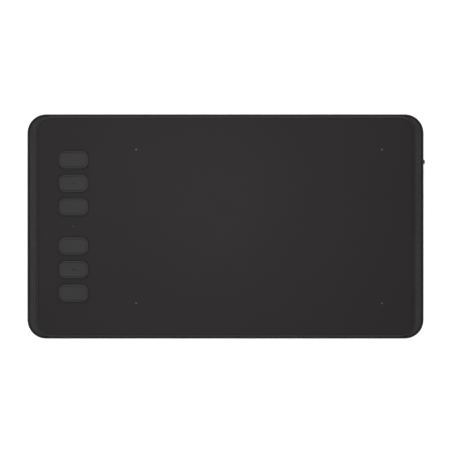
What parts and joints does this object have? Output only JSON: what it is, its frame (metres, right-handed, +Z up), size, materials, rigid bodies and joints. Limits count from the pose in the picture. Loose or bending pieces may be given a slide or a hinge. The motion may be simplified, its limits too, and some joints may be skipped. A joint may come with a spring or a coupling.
{
  "type": "graphics tablet",
  "caption": "Flat cordless pen tablet with a large matt work area, a column of sprung keys at the left, a side power button, a charging socket and rubber feet.",
  "frame": {"origin": "middle of the casing in plan, on the desk plane under the feet", "axes": "+X to the user's right along the long side, +Y away from the user, +Z up"},
  "size_m": [0.2589, 0.146, 0.0094],
  "materials": {
    "case_plastic": "moulded, fine spark texture",
    "panel_plastic": "moulded, satin bevel",
    "surface_film": "matt, very fine paper-like grain",
    "band_plastic": "moulded, coarse spark grain",
    "button_plastic": "moulded, smooth",
    "key_plastic": "moulded, satin",
    "foot_rubber": "matt",
    "screw_steel": "black zinc",
    "switch_plastic": "moulded",
    "plunger_plastic": "moulded",
    "circuit_board": "green solder mask",
    "chip_plastic": "moulded",
    "bright_steel": "tinned",
    "connector_plastic": "moulded",
    "light_lens": "clear to milky",
    "adhesive_tape": "satin",
    "foam": "open cell",
    "flat_cable": "polyimide film",
    "pouch_foil": "foil laminate",
    "plug_plastic": "moulded",
    "red_insulation": "smooth",
    "black_insulation": "smooth"
  },
  "bodies": {
    "casing": {"battery_cell": "pouch_foil", "battery_header": "plug_plastic", "battery_lead_black": "black_insulation", "battery_lead_red": "red_insulation", "battery_plug": "plug_plastic", "battery_protection_board": "circuit_board", "battery_tape": "adhesive_tape", "board_screws": "screw_steel", "foam_pads": "foam", "foot_front_left": "foot_rubber", "foot_front_right": "foot_rubber", "foot_rear_left": "foot_rubber", "foot_rear_right": "foot_rubber", "front_panel": "panel_plastic", "housing_screws": "screw_steel", "indicator_led": "light_lens", "indicator_light_pipe": "light_lens", "key_switch_bodies": "switch_plastic", "left_end_band": "band_plastic", "main_board": "circuit_board", "main_board_chips": "chip_plastic", "power_switch_body": "switch_plastic", "radio_shield_can": "bright_steel", "rear_housing": "case_plastic", "right_end_band": "band_plastic", "sensor_adhesive_sheet": "adhesive_tape", "sensor_board": "circuit_board", "sensor_flex_cable": "flat_cable", "sensor_flex_connectors": "connector_plastic", "shield_plate": "bright_steel", "side_board": "circuit_board", "side_flex_cable": "flat_cable", "side_flex_connectors": "connector_plastic", "usb_receptacle_shell": "bright_steel", "usb_receptacle_tongue": "connector_plastic", "work_surface_film": "surface_film"},
    "key_1": {"express_key_1": "key_plastic", "key_switch_plunger_1": "plunger_plastic"},
    "key_2": {"express_key_2": "key_plastic", "key_switch_plunger_2": "plunger_plastic"},
    "key_3": {"express_key_3": "key_plastic", "key_switch_plunger_3": "plunger_plastic"},
    "key_4": {"express_key_4": "key_plastic", "key_switch_plunger_4": "plunger_plastic"},
    "key_5": {"express_key_5": "key_plastic", "key_switch_plunger_5": "plunger_plastic"},
    "key_6": {"express_key_6": "key_plastic", "key_switch_plunger_6": "plunger_plastic"},
    "side_button": {"power_button": "button_plastic", "power_switch_plunger": "plunger_plastic"}
  },
  "joints": [
    {"name": "key_1_press", "type": "slide", "parent": "casing", "child": "key_1", "axis": [0, 0, -1], "range_m": [0, 0.00035], "stiffness_N_per_m": 3000, "springref_m": -0.0001},
    {"name": "key_2_press", "type": "slide", "parent": "casing", "child": "key_2", "axis": [0, 0, -1], "range_m": [0, 0.00035], "stiffness_N_per_m": 3000, "springref_m": -0.0001},
    {"name": "key_3_press", "type": "slide", "parent": "casing", "child": "key_3", "axis": [0, 0, -1], "range_m": [0, 0.00035], "stiffness_N_per_m": 3000, "springref_m": -0.0001},
    {"name": "key_4_press", "type": "slide", "parent": "casing", "child": "key_4", "axis": [0, 0, -1], "range_m": [0, 0.00035], "stiffness_N_per_m": 3000, "springref_m": -0.0001},
    {"name": "key_5_press", "type": "slide", "parent": "casing", "child": "key_5", "axis": [0, 0, -1], "range_m": [0, 0.00035], "stiffness_N_per_m": 3000, "springref_m": -0.0001},
    {"name": "key_6_press", "type": "slide", "parent": "casing", "child": "key_6", "axis": [0, 0, -1], "range_m": [0, 0.00035], "stiffness_N_per_m": 3000, "springref_m": -0.0001},
    {"name": "side_button_press", "type": "slide", "parent": "casing", "child": "side_button", "axis": [-1, 0, 0], "range_m": [0, 0.00025], "stiffness_N_per_m": 6000, "springref_m": -0.0001}
  ]
}
